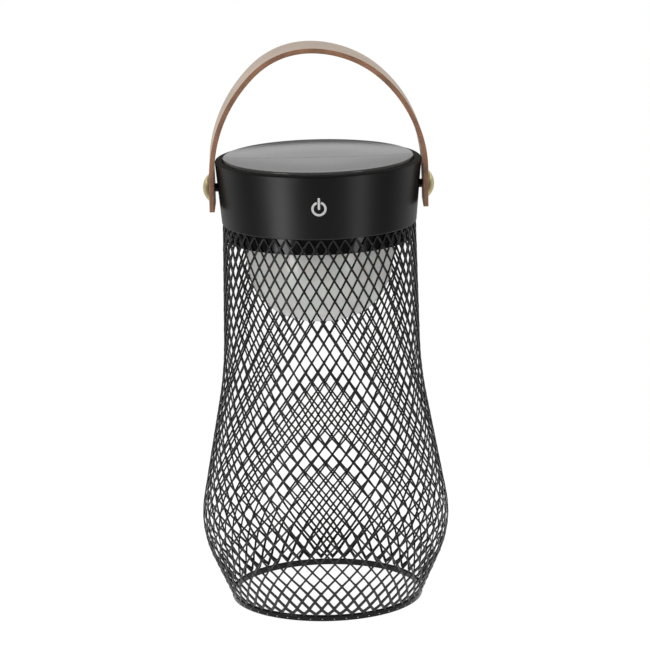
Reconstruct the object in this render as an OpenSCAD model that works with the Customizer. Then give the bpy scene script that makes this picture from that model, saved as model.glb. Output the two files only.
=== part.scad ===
// Lantern table lamp: a flared cage of expanded metal that carries a solar head,
// a frosted bowl lit from above, and a leather strap that swings on two brass rivets.
// Millimetres, +Z up. The origin is the centre of the bottom rim on the table. X is the
// axis on which the strap swings, and the touch switch faces -Y.

/* [Cage] */
// Height of the cage, from the table to the underside of the head
cage_h = 200.2; // [150:0.1:260]
// Outer diameter at the top edge of the mesh
neck_d = 100; // [96:0.5:110]
// How far the flank stands out from the neck where the two would meet
flare_out = 1.45; // [0:0.05:6]
// Height where the straight neck and the flank would meet
flare_z = 122.2; // [100:0.1:140]
// Radius that blends the neck into the flank
flare_round = 190; // [60:5:260]
// Outer diameter where the two flanks would meet if the belly were sharp
belly_d = 134.7; // [118:0.1:150]
// Height where the two flanks would meet
belly_z = 38.4; // [30:0.1:52]
// Radius that rounds the belly
belly_round = 51; // [20:1:60]
// Outer diameter at the bottom edge of the mesh
foot_d = 101.6; // [98:0.1:110]

/* [Mesh] */
// Diamonds around the cage
cells_around = 32; // [20:1:32]
// Length of one strand of metal, from crossing to crossing
strand_l = 10.1; // [9:0.1:14]
// Width of a strand
strand_w = 1.8; // [1:0.1:2.4]
// Thickness of the sheet, measured radially
sheet_t = 1; // [0.6:0.1:1.6]

/* [Rings] */
// Height of the collar inside the top of the mesh
collar_h = 7.8; // [5:0.1:12]
// Wall of the collar and its flange
collar_t = 0.8; // [0.6:0.1:1.2]
// Bare height of the collar above the mesh
collar_bare = 2.2; // [1:0.1:4]
// Height of the bottom rim
rim_h = 3.1; // [2:0.1:6]
// How far the rim is set in from the foot of the mesh
rim_set_in = 0.4; // [0:0.1:1]
// Width of the bottom rim, measured radially
rim_w = 1.9; // [1.2:0.1:3]

/* [Head] */
// Outer diameter of the head at the top
head_top_d = 106.4; // [101:0.1:124]
// How far the foot of the head stands out over the mesh
head_over = 0.1; // [0:0.1:2]
// Height of the head, without the lens
head_h = 33; // [31:0.5:44]
// Wall of the head
head_wall = 2.2; // [1.6:0.1:3]
// Thickness of the deck that carries the solar panel
deck_t = 2; // [1.4:0.1:3]
// Radius of the head's top edge
head_round = 1; // [0.4:0.1:1.6]
// Height of the touch switch above the underside of the head
switch_h = 17; // [13:0.5:18]
// Width and height of the touch pad behind the switch
switch_w = 15; // [10:0.5:18]

/* [Solar panel] */
// Width of the head's rim around the lens
rim_wall = 3.7; // [2.4:0.1:6]
// Thickness of the lens
lens_t = 3.2; // [2:0.1:5]
// How far the lens stands above the rim of the head
lens_proud = 1.4; // [0.4:0.1:2]
// Radius of the lens's top edge
lens_round = 0.7; // [0.4:0.1:1.2]
// Depth of the shallow dish in the lens's top
lens_dish = 1; // [0.3:0.1:1.2]
// Width of the adhesive ring that seals the lens
seal_w = 2; // [1:0.1:6]
// Thickness of a panel
panel_t = 1.2; // [0.6:0.1:1.4]
// Gap between the two panels
panel_gap = 1.2; // [0.6:0.1:3]

/* [Base plate and light] */
// Thickness of the base plate
plate_t = 2.5; // [2:0.1:4]
// Height of the centre above the collar's flange
spigot_h = 1; // [0.5:0.1:3]
// Width of the plate left outside the screws' heads
screw_margin = 0.6; // [0.4:0.1:2]
// Width of the plate left between the screws' heads and its centre
spigot_margin = 1.8; // [1:0.1:4]
// Number of light-emitting diodes
leds = 8; // [4:1:12]

/* [Diffuser] */
// Free width between the bowl's skirt and the screws' heads
bowl_gap = 1.15; // [0.5:0.05:8]
// Depth of the bowl below the base plate
bowl_h = 48; // [30:0.5:60]
// Straight height at the top of the bowl
bowl_straight = 8; // [6:0.5:12]
// Roundness of the bowl: 2 is an ellipse, more is squarer
bowl_square = 2.5; // [2:0.1:4]
// Wall of the bowl
bowl_wall = 1.8; // [1.2:0.1:3]

/* [Battery and board] */
// Diameter of the round cell
cell_d = 18.4; // [14:0.1:18.4]
// Length of the cell
cell_l = 65; // [50:0.5:68]
// Width of the circuit board
board_w = 52; // [40:1:56]
// Depth of the circuit board
board_d = 24; // [18:1:26]

/* [Strap] */
// Height of the pivots above the underside of the head
pivot_h = 18.8; // [14:0.1:22]
// Height of the strap's crown above the pivots
strap_rise = 72.9; // [60:0.1:100]
// Gap between the upright strap and the top edge of the head
strap_gap = 0.4; // [0.2:0.1:4]
// Width of the leather
strap_w = 28; // [16:0.5:32]
// Thickness of the leather
strap_t = 2.5; // [1.6:0.1:2.6]
// Length of the tails below the pivots
strap_tail = 10; // [8:0.5:16]
// Straight length above the pivots
strap_straight = 9.8; // [8:0.1:14]
// How much tighter the crown is than half the span
crown_tighter = 7; // [4:0.1:10]

/* [Rivets] */
// Diameter of the brass caps
cap_d = 14; // [9:0.1:16]
// Height of a cap's dome
cap_h = 3.2; // [1.5:0.1:4]
// Outer diameter of the black bushes on which the strap swings
bush_d = 4.4; // [4:0.1:6]
// Diameter of the rivet posts
post_d = 3; // [2:0.1:3.2]

/* [Clearances] */
// Radial play of the strap on its bushes
running_gap = 0.05; // [0.02:0.01:0.1]
// Gap between pieces that are laid on one another
seat_gap = 0.05; // [0.02:0.01:0.1]
// Gap around pieces that drop into a recess
drop_gap = 0.4; // [0.2:0.1:0.8]

/* [Hidden] */
$fn = 96;

brass = "#b59a5f";
satin_black = "#232426";
black_metal = "#2b2b2c";
eps = 0.01;

// Heights of the head
head_z = cage_h;
rim_top_z = head_z + head_h;
lens_top_z = rim_top_z + lens_proud;
lens_z = lens_top_z - lens_t;
seal_t = panel_t + drop_gap;
deck_z = lens_z - seal_t;
deck_foot_z = deck_z - deck_t;
pivot_z = head_z + pivot_h;

// Heights under the head
flange_z = head_z - collar_t;
plate_z = flange_z - plate_t;
spigot_z = head_z + spigot_h;
light_board_t = 1.6;
light_board_z = plate_z - light_board_t;

// Mesh and rings
mesh_foot_z = rim_h + seat_gap;
mesh_top_z = head_z - collar_bare;
flare_d = neck_d + 2 * flare_out;
rim_d = foot_d - 2 * rim_set_in;
wrap_gap = 0.15;
collar_d = neck_d - 2 * sheet_t - 2 * wrap_gap;
collar_in_d = collar_d - 2 * collar_t;

// Head and lens
head_foot_d = neck_d + 2 * head_over;
head_taper = (head_top_d - head_foot_d) / 2 / head_h;
pocket_d = head_top_d - 2 * rim_wall;
lens_d = pocket_d - 2 * drop_gap;
seal_d = lens_d - drop_gap;
panel_d = seal_d - 2 * seal_w - 2 * drop_gap;

// Screws
screw_d = 2.4;
screw_head_d = 4.8;
screw_head_h = 1.7;
screw_bite = 8;
screw_spare = 3;
screw_posts = [90, 210, 330];
screw_post_d = 6;
bore_gap = 0.05;

// The base plate and the bowl, from the collar inwards
plate_d = collar_in_d - 2 * seat_gap;
screw_circle_d = plate_d - screw_head_d - 2 * screw_margin;
spigot_d = screw_circle_d - screw_head_d - 2 * spigot_margin;
skirt_t = 1.5;
skirt_h = 3.5;
skirt_d = screw_circle_d - screw_head_d - 2 * bowl_gap - 2 * skirt_t;
bowl_flange_w = 1.7;
bowl_flange_t = 1.6;
bowl_flange_d = skirt_d - 2 * seat_gap;
bowl_d = bowl_flange_d - 2 * bowl_flange_w;
light_board_d = bowl_d * 0.785;

// ---------------------------------------------------------------- helpers

function unit(v) = v / norm(v);
function polar(r, a) = [r * cos(a), r * sin(a)];

// Points of an arc about a centre, from one angle to another
function arc(centre, r, from, to, steps) =
    [for (i = [0:steps]) centre + polar(r, from + (to - from) * i / steps)];

// Points that round the corner b of the path a, b, c
function round_corner(a, b, c, r, steps) =
    let (u = unit(a - b), v = unit(c - b), half = acos(u * v) / 2,
         centre = b + unit(u + v) * r / sin(half),
         first = b + u * r / tan(half) - centre,
         last = b + v * r / tan(half) - centre,
         start = atan2(first.y, first.x),
         turn = atan2(cross(first, last), first * last))
    arc(centre, r, start, start + turn, steps);

// A path whose inner points are rounded; radii has one value for each inner point
function round_path(path, radii, steps = 8) =
    [path[0],
     for (i = [1:len(path) - 2])
         each round_corner(path[i - 1], path[i], path[i + 1], radii[i - 1], steps),
     path[len(path) - 1]];

// A ring about Z
module ring(d_out, d_in, z, h) {
    translate([0, 0, z]) difference() {
        cylinder(d = d_out, h = h);
        translate([0, 0, -1]) cylinder(d = d_in, h = h + 2);
    }
}

// A disc about Z
module disc(d, z, h) {
    translate([0, 0, z]) cylinder(d = d, h = h);
}

// Copies of a shape around Z, at a distance from it
module around(angles, r, z) {
    for (a = angles) rotate([0, 0, a]) translate([r, 0, z]) children();
}

// A shape built along +Z is laid along the pivot axis: side is 1 for right, -1 for left
module on_pivot(side, x) {
    translate([side * x, 0, pivot_z]) rotate([0, side * 90, 0]) children();
}

// ------------------------------------------------------------------- cage

// Outer outline of the mesh as [radius, height], from the foot to the neck
cage_path = round_path([[foot_d / 2, mesh_foot_z], [belly_d / 2, belly_z],
                        [flare_d / 2, flare_z], [neck_d / 2, mesh_top_z]],
                       [belly_round, flare_round], 16);
radius_at = [for (p = cage_path) [p.y, p.x]];

function cage_r(z) = lookup(z, radius_at);
function lean_at(z) = cage_r(z + 0.5) - cage_r(z - 0.5);
function half_pitch(z) = PI * cage_r(z) / cells_around;
function row_rise(z) = sqrt(pow(strand_l, 2) - pow(half_pitch(z), 2));
function step_z(z) = row_rise(z) / norm([1, lean_at(z)]);

// Half the width and half the height of the crossing of two strands
function knuckle_w(z) = strand_w * strand_l / 2 / row_rise(z);
function knuckle_h(z) = strand_w * strand_l / 2 / half_pitch(z) / norm([1, lean_at(z)]);

// Heights of the rows of crossings: strands keep their length where the cage widens
function march(z, top) = z > top - step_z(z) / 2 ? [z] : concat([z], march(z + step_z(z), top));
first_row_z = mesh_foot_z + knuckle_h(mesh_foot_z);
last_row_z = mesh_top_z - knuckle_h(mesh_top_z);
free_rows = march(first_row_z, last_row_z);
row_scale = (last_row_z - first_row_z) / (free_rows[len(free_rows) - 1] - first_row_z);
row_z = [for (z = free_rows) first_row_z + (z - first_row_z) * row_scale];
rows = len(row_z);

function mesh_point(a, z, depth) = [each polar(cage_r(z) - depth, a), z];
function crossing_angle(row, i) = (i + (row % 2) / 2) * 360 / cells_around;

// Points of one crossing: four corners on the inner face, then the ridge outside
function crossing_points(row, i) =
    let (a = crossing_angle(row, i), z = row_z[row], h = knuckle_h(z),
         side = knuckle_w(z) / cage_r(z) * 180 / PI)
    [mesh_point(a, z + h, sheet_t), mesh_point(a + side, z, sheet_t),
     mesh_point(a, z - h, sheet_t), mesh_point(a - side, z, sheet_t),
     mesh_point(a, z, 0)];
N = 0;
E = 1;
S = 2;
W = 3;
RIDGE = 4;

function crossing(row, i) = 5 * (row * cells_around + (i + cells_around) % cells_around);

// Faces of the strand that climbs to the right, from crossing a to crossing b
function right_strand(a, b) =
    [[a + E, b + S, b + W], [a + E, b + W, a + N],
     [a + E, a + RIDGE, b + RIDGE], [a + E, b + RIDGE, b + S],
     [a + N, b + W, b + RIDGE], [a + N, b + RIDGE, a + RIDGE]];

// Faces of the strand that climbs to the left
function left_strand(a, b) =
    [[a + W, a + N, b + E], [a + W, b + E, b + S],
     [a + W, b + S, b + RIDGE], [a + W, b + RIDGE, a + RIDGE],
     [a + N, a + RIDGE, b + RIDGE], [a + N, b + RIDGE, b + E]];

function knuckle_face(a) = [[a + E, a + N, a + W], [a + E, a + W, a + S]];
function foot_ends(a) = [[a + S, a + RIDGE, a + E], [a + W, a + RIDGE, a + S]];
function top_ends(a) = [[a + E, a + RIDGE, a + N], [a + N, a + RIDGE, a + W]];

function crossing_faces(row, i) =
    let (a = crossing(row, i), shift = row % 2)
    concat(knuckle_face(a),
           row == 0 ? foot_ends(a) : [],
           row == rows - 1 ? top_ends(a)
                           : concat(right_strand(a, crossing(row + 1, i + shift)),
                                    left_strand(a, crossing(row + 1, i + shift - 1))));

// One sheet of expanded metal, rolled and flared: every strand is a ridge that ends
// in the crossings above and below it
module cage_mesh() {
    color(black_metal) polyhedron(
        points = [for (row = [0:rows - 1], i = [0:cells_around - 1])
                      each crossing_points(row, i)],
        faces = [for (row = [0:rows - 1], i = [0:cells_around - 1])
                     each crossing_faces(row, i)]);
}

// The collar inside the top of the mesh; its flange is clamped under the head
module cage_collar() {
    flange_in_d = spigot_d + 2 * drop_gap;
    color(black_metal) difference() {
        union() {
            ring(collar_d, collar_in_d, head_z - collar_h, collar_h);
            ring(collar_d - collar_t, flange_in_d, flange_z, collar_t);
        }
        around(screw_posts, screw_circle_d / 2, flange_z - 1)
            cylinder(d = screw_d + 2 * drop_gap, h = collar_t + 2);
    }
}

// The band that closes the bottom edge of the mesh and stands on the table
module cage_bottom_rim() {
    r_out = rim_d / 2;
    r_in = r_out - rim_w;
    edge = 0.4;
    section = [[r_in, 0], [r_out - edge, 0], [r_out, edge], [r_out, rim_h], [r_in, rim_h]];
    color(black_metal) rotate_extrude() polygon(section);
}

// ------------------------------------------------------------------- head

function head_r(z) = head_foot_d / 2 + head_taper * (z - head_z);

boss_d = 9;
boss_l = 7.5;
boss_face_x = head_r(pivot_z) - boss_l;
bush_seat = 0.8;
bush_seat_x = head_r(pivot_z) - bush_seat;
lead_hole_d = 3;
lead_hole_y = panel_d / 3;

// Outer shape of the head, a slightly tapered drum with rounded edges
module head_drum() {
    foot_round = 0.8;
    side = round_path([[0, head_z], [head_r(head_z), head_z], [head_r(rim_top_z), rim_top_z],
                       [0, rim_top_z]],
                      [foot_round, head_round], 6);
    rotate_extrude() polygon(side);
}

// Room inside the head, as wide as the tapered wall allows, or smaller by a gap
module head_room(gap = 0) {
    foot_r = head_r(head_z) - head_wall - gap;
    top_r = head_r(deck_foot_z) - head_wall - gap;
    rotate_extrude() polygon([[0, head_z - 1], [foot_r, head_z - 1], [foot_r, head_z],
                              [top_r, deck_foot_z], [0, deck_foot_z]]);
}

// The black moulded drum, with the panel's pocket on top and bosses inside
module head_housing() {
    color(satin_black) difference() {
        union() {
            difference() {
                head_drum();
                head_room();
                disc(pocket_d, deck_z, head_h);
            }
            intersection() {
                head_drum();
                union() {
                    around(screw_posts, screw_circle_d / 2, head_z)
                        cylinder(d = screw_post_d, h = deck_z - head_z - deck_t / 2);
                    for (side = [-1, 1])
                        on_pivot(side, boss_face_x)
                            cylinder(d = boss_d, h = boss_l - bush_seat / 2);
                }
            }
        }
        around(screw_posts, screw_circle_d / 2, head_z - 1)
            cylinder(d = screw_d + 2 * bore_gap, h = 1 + screw_bite + screw_spare);
        for (side = [-1, 1]) {
            on_pivot(side, boss_face_x - 1)
                cylinder(d = post_d + 2 * bore_gap, h = 2 * boss_l);
            on_pivot(side, bush_seat_x) cylinder(d = bush_d + 2 * bore_gap, h = boss_l);
        }
        for (y = [-lead_hole_y, lead_hole_y])
            translate([0, y, deck_foot_z - 1]) cylinder(d = lead_hole_d, h = deck_t + 2);
    }
}

// The plate that closes the head from below and clamps the collar's flange
module base_plate() {
    color(satin_black) difference() {
        union() {
            disc(plate_d, plate_z, plate_t);
            disc(spigot_d, plate_z, spigot_z - plate_z);
            ring(skirt_d + 2 * skirt_t, skirt_d, plate_z - skirt_h, skirt_h + eps);
            for (x = [-1, 1])
                translate([x * board_hole_x, board_y, spigot_z - eps])
                    cylinder(d = standoff_d, h = standoff_h + eps);
        }
        around(screw_posts, screw_circle_d / 2, plate_z - 1)
            cylinder(d = screw_d + 2 * drop_gap, h = plate_t + 2);
        for (x = [-1, 1])
            translate([x * board_hole_x, board_y, spigot_z - 1])
                cylinder(d = screw_d + 2 * bore_gap, h = standoff_h + 2);
    }
}

// Three screws that pull the plate and the flange against the head's posts
module base_screws() {
    color("silver") around(screw_posts, screw_circle_d / 2, plate_z - screw_head_h) {
        cylinder(d = screw_head_d, h = screw_head_h);
        cylinder(d = screw_d, h = screw_head_h + plate_t + collar_t + screw_bite);
    }
}

// ------------------------------------------------------------ solar panel

dish_steps = 14;
lens_foot_round = 0.3;

// Half outline of the lens's top from near its edge to its middle, steepest at the edge
function dish(r) =
    [for (i = [dish_steps - 1:-1:0]) let (s = i / dish_steps)
        [r * s, lens_top_z - lens_dish * (1 - pow(s, 4))]];

// The smoked lens with a rounded top edge and a shallow dish
module solar_lens() {
    r = lens_d / 2;
    top = dish(r);
    side = round_path([[0, lens_z], [r, lens_z], [r, lens_top_z], top[0]],
                      [lens_foot_round, lens_round], 6);
    color("#5b5c5e") rotate_extrude()
        polygon(concat(side, [for (i = [1:dish_steps - 1]) top[i]]));
}

// The adhesive ring that carries the lens on the deck
module lens_seal() {
    color("#101010") ring(seal_d, seal_d - 2 * seal_w, deck_z, seal_t);
}

// One half-round panel: side is -1 for the front half and 1 for the rear
module solar_panel(side) {
    color("#1b2030") intersection() {
        disc(panel_d, deck_z, panel_t);
        translate([-panel_d, side > 0 ? panel_gap / 2 : -panel_d - panel_gap / 2, deck_z])
            cube([2 * panel_d, panel_d, panel_t]);
    }
}

module solar_panel_front() {
    solar_panel(-1);
}

module solar_panel_rear() {
    solar_panel(1);
}

// ------------------------------------------------------------ electronics

standoff_h = 3;
standoff_d = 5;
board_t = 1.6;
board_y = -board_d / 2 - 10;
board_z = spigot_z + standoff_h;
board_hole_x = board_w / 2 - standoff_d;

// The copper pad behind the switch symbol, laid against the inside of the head's wall
module touch_pad() {
    pad_t = 0.4;
    color("#b87333") intersection() {
        difference() {
            head_room(seat_gap);
            head_room(seat_gap + pad_t);
        }
        translate([-switch_w / 2, -head_top_d, head_z + switch_h - switch_w / 2])
            cube([switch_w, head_top_d, switch_w]);
    }
}

// The board on its two standoffs
module circuit_board() {
    color("#1d6b3a") difference() {
        translate([-board_w / 2, board_y - board_d / 2, board_z])
            cube([board_w, board_d, board_t]);
        for (x = [-1, 1])
            translate([x * board_hole_x, board_y, board_z - 1])
                cylinder(d = screw_d + 2 * drop_gap, h = board_t + 2);
    }
}

// Parts on the board: size, and the place of the centre from the board's centre
charge_chip = [[7, 7, 1.4], [-8, 2]];
coil = [[8, 8, 4.2], [4, -3]];
touch_chip = [[5, 4, 1.2], [-8, -7]];
lead_socket = [[10, 5, 6], [3, 7]];

// One part on the board, as a block
module component(part) {
    size = part[0];
    place = part[1];
    translate([place.x - size.x / 2, board_y + place.y - size.y / 2, board_z + board_t])
        cube(size);
}

// The charge controller, the coil, the touch chip and the socket of the leads
module board_components() {
    color("#202020") for (part = [charge_chip, coil, touch_chip, lead_socket])
        component(part);
}

// Two screws that hold the board
module board_screws() {
    color("silver") for (x = [-1, 1]) translate([x * board_hole_x, board_y, 0]) {
        disc(screw_head_d, board_z + board_t, screw_head_h);
        disc(screw_d, board_z - standoff_h, standoff_h + board_t + eps);
    }
}

cell_y = cell_d / 2 + 4.8;
cradle_floor = 1.5;
cradle_wall = 1.6;
cell_z = spigot_z + cradle_floor + cell_d / 2 + seat_gap;
contact_t = 0.5;
cradle_l = cell_l + 2 * contact_t + 4 * seat_gap + 2 * cradle_wall;
cradle_w = cell_d + 2 * cradle_wall;

// The rechargeable cell, laid along X with its raised contact on the right
module battery_cell() {
    button_d = 6;
    button_h = 1;
    color("#2f6fb5") translate([-cell_l / 2, cell_y, cell_z]) rotate([0, 90, 0]) {
        cylinder(d = cell_d, h = cell_l - button_h);
        cylinder(d = button_d, h = cell_l);
    }
}

// The trough that carries the cell on the base plate
module battery_cradle() {
    cradle_h = cell_z - spigot_z;
    color("#3a3a3a") difference() {
        translate([-cradle_l / 2, cell_y - cradle_w / 2, spigot_z])
            cube([cradle_l, cradle_w, cradle_h]);
        translate([-cradle_l / 2 + cradle_wall, cell_y, cell_z]) rotate([0, 90, 0])
            cylinder(d = cell_d + 2 * seat_gap, h = cradle_l - 2 * cradle_wall);
    }
}

// The two spring plates between the cell and the ends of the trough
module battery_contacts() {
    plate_w = cell_d / 2;
    color("silver") for (side = [-1, 1])
        translate([side * (cell_l / 2 + seat_gap + contact_t / 2), cell_y, cell_z - 1])
            cube([contact_t, plate_w, plate_w], center = true);
}

// ------------------------------------------------------------------ light

// The white board under the base plate
module light_board() {
    color("white") disc(light_board_d, light_board_z, light_board_t);
}

// The diodes in a ring under the light board
module light_diodes() {
    led_w = 3;
    led_h = 0.8;
    color("#f3e6a0") around([for (i = [0:leds - 1]) i * 360 / leds], light_board_d / 3,
                            light_board_z - led_h)
        translate([-led_w / 2, -led_w / 2, 0]) cube([led_w, led_w, led_h]);
}

// Half outline of the bowl, from its straight rim down to the middle of its floor
function bowl_outline(wall) =
    let (r = bowl_d / 2 - wall, depth = bowl_h - bowl_straight - wall,
         z = plate_z - bowl_straight)
    [[0, plate_z + (wall > 0 ? 1 : 0)], [r, plate_z + (wall > 0 ? 1 : 0)],
     for (i = [0:20]) let (a = i * 4.5)
         [r * pow(cos(a), 2 / bowl_square), z - depth * pow(sin(a), 2 / bowl_square)]];

// The frosted bowl, with the flange by which it is held
module diffuser_bowl() {
    color("#c9c9c7") difference() {
        union() {
            rotate_extrude() polygon(bowl_outline(0));
            disc(bowl_flange_d, plate_z - bowl_flange_t, bowl_flange_t);
        }
        rotate_extrude() polygon(bowl_outline(bowl_wall));
    }
}

snap_h = 1.6;

// The snap ring that holds the bowl's flange against the plate
module diffuser_ring() {
    color(satin_black) ring(bowl_flange_d, bowl_d + drop_gap,
                            plate_z - bowl_flange_t - snap_h, snap_h);
}

// ------------------------------------------------------------------ strap

strap_x = head_top_d / 2 + strap_gap + strap_t;
crown_r = strap_x - crown_tighter;
crown_centre = [0, strap_rise - crown_r];

// Radius and centre of the arc that runs from the straight leg into the crown
leg_top = [strap_x, strap_straight];
leg_offset = leg_top - crown_centre;
leg_r = (leg_offset * leg_offset - crown_r * crown_r) / 2 / crown_tighter;
leg_centre = leg_top - [leg_r, 0];
crown_a = atan2(crown_centre.y - leg_centre.y, crown_centre.x - leg_centre.x);

// Right half of one face of the strap, from the tail to the top of the crown
function strap_face(depth) =
    concat([[strap_x - depth, -strap_tail]],
           arc(leg_centre, leg_r - depth, 0, crown_a, 16),
           arc(crown_centre, crown_r - depth, crown_a, 90, 16));

function mirrored(path) = [for (i = [len(path) - 1:-1:0]) [-path[i].x, path[i].y]];
function reversed(path) = [for (i = [len(path) - 1:-1:0]) path[i]];

strap_outline = concat(strap_face(0), mirrored(strap_face(0)),
                       reversed(mirrored(strap_face(strap_t))),
                       reversed(strap_face(strap_t)));

// The leather strap, bent over the head, with a hole at each end for a bush
module strap_handle() {
    hole_l = 10;
    color("#b9a698") difference() {
        translate([0, strap_w / 2, pivot_z]) rotate([90, 0, 0])
            linear_extrude(strap_w) polygon(strap_outline);
        for (side = [-1, 1])
            on_pivot(side, strap_x - hole_l / 2)
                cylinder(d = bush_d + 2 * running_gap, h = hole_l);
    }
}

// The cap clears the leather, and the bush reaches from the head to the cap
cap_x = strap_x + 4 * seat_gap;
nut_h = 2.4;
nut_w = 5.5;

// The brass rivet: a domed cap on a post that passes through the bush into the head
module rivet(side) {
    sphere_r = (pow(cap_d / 2, 2) + pow(cap_h, 2)) / 2 / cap_h;
    color(brass) {
        on_pivot(side, cap_x) intersection() {
            translate([0, 0, cap_h - sphere_r]) sphere(r = sphere_r);
            cylinder(d = cap_d, h = cap_h + 1);
        }
        on_pivot(side, boss_face_x - nut_h - 1)
            cylinder(d = post_d, h = cap_x - boss_face_x + nut_h + 1 + eps);
    }
}

module rivet_left() {
    rivet(-1);
}

module rivet_right() {
    rivet(1);
}

// The black bush that spaces the strap from the head
module bush(side) {
    color("#161616") on_pivot(side, bush_seat_x) difference() {
        cylinder(d = bush_d, h = cap_x - bush_seat_x - seat_gap);
        translate([0, 0, -1]) cylinder(d = post_d + 2 * bore_gap, h = 2 * boss_l);
    }
}

module bush_left() {
    bush(-1);
}

module bush_right() {
    bush(1);
}

// The hexagon nut on the post, against the inside of the head's boss
module post_nut(side) {
    color("silver") on_pivot(side, boss_face_x - nut_h - seat_gap) difference() {
        cylinder(d = nut_w / cos(30), h = nut_h, $fn = 6);
        translate([0, 0, -1]) cylinder(d = post_d + 2 * bore_gap, h = nut_h + 2);
    }
}

module post_nut_left() {
    post_nut(-1);
}

module post_nut_right() {
    post_nut(1);
}

// --------------------------------------------------------------- assembly

cage_mesh();
cage_collar();
cage_bottom_rim();
head_housing();
base_plate();
base_screws();
solar_lens();
lens_seal();
solar_panel_front();
solar_panel_rear();
touch_pad();
circuit_board();
board_components();
board_screws();
battery_cell();
battery_cradle();
battery_contacts();
light_board();
light_diodes();
diffuser_bowl();
diffuser_ring();
strap_handle();
rivet_left();
rivet_right();
bush_left();
bush_right();
post_nut_left();
post_nut_right();
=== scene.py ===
"""Lantern table lamp, dressed over its CAD frame.

A flared cage of expanded metal carries a solar head and a frosted bowl, and a leather strap
swings on two brass rivets. Lengths in the pieces are millimetres, in the frame's own place:
+Z up, the table at zero, the touch switch towards -Y and the strap's pivots along X.
"""

from __future__ import annotations

import logging
import math
import re
from collections.abc import Iterable, Sequence
from dataclasses import dataclass
from enum import Enum

import bpy
import numpy as np
from bpy.types import Material, Node, NodeSocket, NodeTree, Object
from mathutils import Euler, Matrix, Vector

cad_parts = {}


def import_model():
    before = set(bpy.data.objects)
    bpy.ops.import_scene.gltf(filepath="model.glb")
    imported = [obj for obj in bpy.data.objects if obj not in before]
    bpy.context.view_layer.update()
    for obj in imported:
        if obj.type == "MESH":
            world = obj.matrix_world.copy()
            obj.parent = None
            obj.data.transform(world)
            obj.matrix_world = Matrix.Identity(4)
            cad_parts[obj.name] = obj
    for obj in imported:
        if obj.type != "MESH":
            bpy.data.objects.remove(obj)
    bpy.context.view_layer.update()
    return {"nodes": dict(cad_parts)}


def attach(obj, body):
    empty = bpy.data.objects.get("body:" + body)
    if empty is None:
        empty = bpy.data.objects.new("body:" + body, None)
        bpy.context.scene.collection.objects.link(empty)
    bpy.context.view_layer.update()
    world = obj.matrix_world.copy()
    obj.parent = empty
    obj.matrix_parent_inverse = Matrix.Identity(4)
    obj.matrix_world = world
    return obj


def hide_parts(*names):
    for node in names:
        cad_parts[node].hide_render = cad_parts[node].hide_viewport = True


LOG = logging.getLogger("lantern")
MM = 0.001


class Body(Enum):
    """The moving bodies of the frame."""

    LAMP = "lamp"
    HANDLE = "handle"


class Studio(Enum):
    """The parts of the stage, by the names that their objects carry."""

    TABLE = "studio_table"
    LEFT_SOFTBOX = "softbox_left"
    RIGHT_SOFTBOX = "softbox_right"


def linear(code: str) -> tuple[float, float, float, float]:
    """Turn an sRGB hex colour into linear RGBA.

    Args:
        code: The colour, such as "#8a654f".

    Returns:
        Red, green, blue and alpha as linear numbers.
    """
    parts = [int(code[i : i + 2], 16) / 255 for i in (1, 3, 5)]
    red, green, blue = [
        c / 12.92 if c <= 0.04045 else ((c + 0.055) / 1.055) ** 2.4 for c in parts
    ]
    return red, green, blue, 1.0


def per_mm(size: float) -> float:
    """Texture scale that gives a pattern this many millimetres on the object."""
    return 1 / (size * MM)


def grey(value: float) -> tuple[float, float, float, float]:
    """A linear grey."""
    return value, value, value, 1.0


def connect(node: Node, inputs: dict) -> None:
    """Give a node its values and links.

    Args:
        node: The node.
        inputs: Values, or sockets to link from, by input name or number.
    """
    for key, value in inputs.items():
        if isinstance(value, NodeSocket):
            node.id_data.links.new(value, node.inputs[key])
        else:
            node.inputs[key].default_value = value


def add(
    tree: NodeTree,
    kind: str,
    inputs: dict | None = None,
    stops: list | None = None,
    **settings: object,
) -> Node:
    """Add one shader node with its settings, values and links.

    Args:
        tree: The node tree that gets the node.
        kind: The node's type without the words "ShaderNode".
        inputs: Values, or sockets to link from, by input name or number.
        stops: Pairs of a position and a linear colour, for a node that holds a ramp.
        settings: Attributes of the node.

    Returns:
        The new node.
    """
    node = tree.nodes.new("ShaderNode" + kind)
    for name, value in settings.items():
        setattr(node, name, value)
    connect(node, inputs or {})
    if stops:
        bar = node.color_ramp
        while len(bar.elements) < len(stops):
            bar.elements.new(0.5)
        for element, (place, colour) in zip(bar.elements, stops):
            element.position = place
            element.color = colour
    return node


# ---- finishes


@dataclass(frozen=True)
class Pattern:
    """A procedural texture: the real size of its cells in millimetres, and how fine it is."""

    size: float
    detail: float = 2.0
    uneven: float = 0.5
    kind: str = "TexNoise"


@dataclass(frozen=True)
class Cells(Pattern):
    """A pattern of cells."""

    detail: float = 0.0
    kind: str = "TexVoronoi"


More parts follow.
